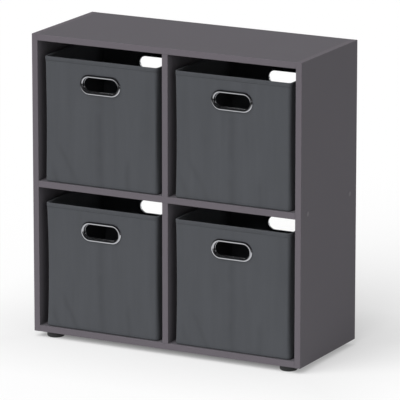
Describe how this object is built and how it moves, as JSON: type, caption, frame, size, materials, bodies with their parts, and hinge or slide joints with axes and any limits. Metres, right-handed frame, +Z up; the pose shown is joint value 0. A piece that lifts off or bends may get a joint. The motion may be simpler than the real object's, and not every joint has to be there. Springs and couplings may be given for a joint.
{
  "type": "cube storage unit",
  "caption": "Open-backed storage carcass with square cells on round feet, each cell holding a pull-out fabric bin with oval metal handles.",
  "frame": {"origin": "on the floor, under the middle of the carcass", "axes": "+Z up, +X to the right seen from the front, the open front with the bins faces -Y"},
  "size_m": [0.7066, 0.29, 0.734],
  "materials": {
    "board_laminate": "satin",
    "edge_band": "satin",
    "dowel_wood": "matte",
    "fitting_steel": "satin",
    "cam_zinc": "satin",
    "cap_plastic": "matte",
    "foot_plastic": "matte",
    "bin_fabric": "matte",
    "bin_lining": "matte",
    "bin_binding": "matte",
    "bin_base_board": "matte",
    "stiffener_card": "matte",
    "handle_chrome": "polished"
  },
  "bodies": {
    "carcass": {"left_side_panel": "board_laminate", "right_side_panel": "board_laminate", "top_panel": "board_laminate", "bottom_panel": "board_laminate", "middle_shelf": "board_laminate", "upper_divider": "board_laminate", "lower_divider": "board_laminate", "front_edge_bands": "edge_band", "rear_edge_bands": "edge_band", "side_panel_end_bands": "edge_band", "wood_dowels": "dowel_wood", "cam_bolts": "fitting_steel", "cam_discs": "cam_zinc", "shelf_screws": "fitting_steel", "screw_caps": "cap_plastic", "front_left_foot": "foot_plastic", "front_right_foot": "foot_plastic", "rear_left_foot": "foot_plastic", "rear_right_foot": "foot_plastic", "foot_screws": "fitting_steel"},
    "upper_left_bin": {"upper_left_bin_cover": "bin_fabric", "upper_left_bin_lining": "bin_lining", "upper_left_bin_rim_binding": "bin_binding", "upper_left_bin_end_cards": "stiffener_card", "upper_left_bin_side_cards": "stiffener_card", "upper_left_bin_base_board": "bin_base_board", "upper_left_bin_front_handle": "handle_chrome", "upper_left_bin_front_handle_backing": "handle_chrome", "upper_left_bin_rear_handle": "handle_chrome", "upper_left_bin_rear_handle_backing": "handle_chrome"},
    "upper_right_bin": {"upper_right_bin_cover": "bin_fabric", "upper_right_bin_lining": "bin_lining", "upper_right_bin_rim_binding": "bin_binding", "upper_right_bin_end_cards": "stiffener_card", "upper_right_bin_side_cards": "stiffener_card", "upper_right_bin_base_board": "bin_base_board", "upper_right_bin_front_handle": "handle_chrome", "upper_right_bin_front_handle_backing": "handle_chrome", "upper_right_bin_rear_handle": "handle_chrome", "upper_right_bin_rear_handle_backing": "handle_chrome"},
    "lower_left_bin": {"lower_left_bin_cover": "bin_fabric", "lower_left_bin_lining": "bin_lining", "lower_left_bin_rim_binding": "bin_binding", "lower_left_bin_end_cards": "stiffener_card", "lower_left_bin_side_cards": "stiffener_card", "lower_left_bin_base_board": "bin_base_board", "lower_left_bin_front_handle": "handle_chrome", "lower_left_bin_front_handle_backing": "handle_chrome", "lower_left_bin_rear_handle": "handle_chrome", "lower_left_bin_rear_handle_backing": "handle_chrome"},
    "lower_right_bin": {"lower_right_bin_cover": "bin_fabric", "lower_right_bin_lining": "bin_lining", "lower_right_bin_rim_binding": "bin_binding", "lower_right_bin_end_cards": "stiffener_card", "lower_right_bin_side_cards": "stiffener_card", "lower_right_bin_base_board": "bin_base_board", "lower_right_bin_front_handle": "handle_chrome", "lower_right_bin_front_handle_backing": "handle_chrome", "lower_right_bin_rear_handle": "handle_chrome", "lower_right_bin_rear_handle_backing": "handle_chrome"}
  },
  "joints": [
    {"name": "upper_left_bin_slide", "type": "slide", "parent": "carcass", "child": "upper_left_bin", "axis": [0, -1, 0], "range_m": [0, 0.26]},
    {"name": "upper_right_bin_slide", "type": "slide", "parent": "carcass", "child": "upper_right_bin", "axis": [0, -1, 0], "range_m": [0, 0.26]},
    {"name": "lower_left_bin_slide", "type": "slide", "parent": "carcass", "child": "lower_left_bin", "axis": [0, -1, 0], "range_m": [0, 0.26]},
    {"name": "lower_right_bin_slide", "type": "slide", "parent": "carcass", "child": "lower_right_bin", "axis": [0, -1, 0], "range_m": [0, 0.26]}
  ]
}
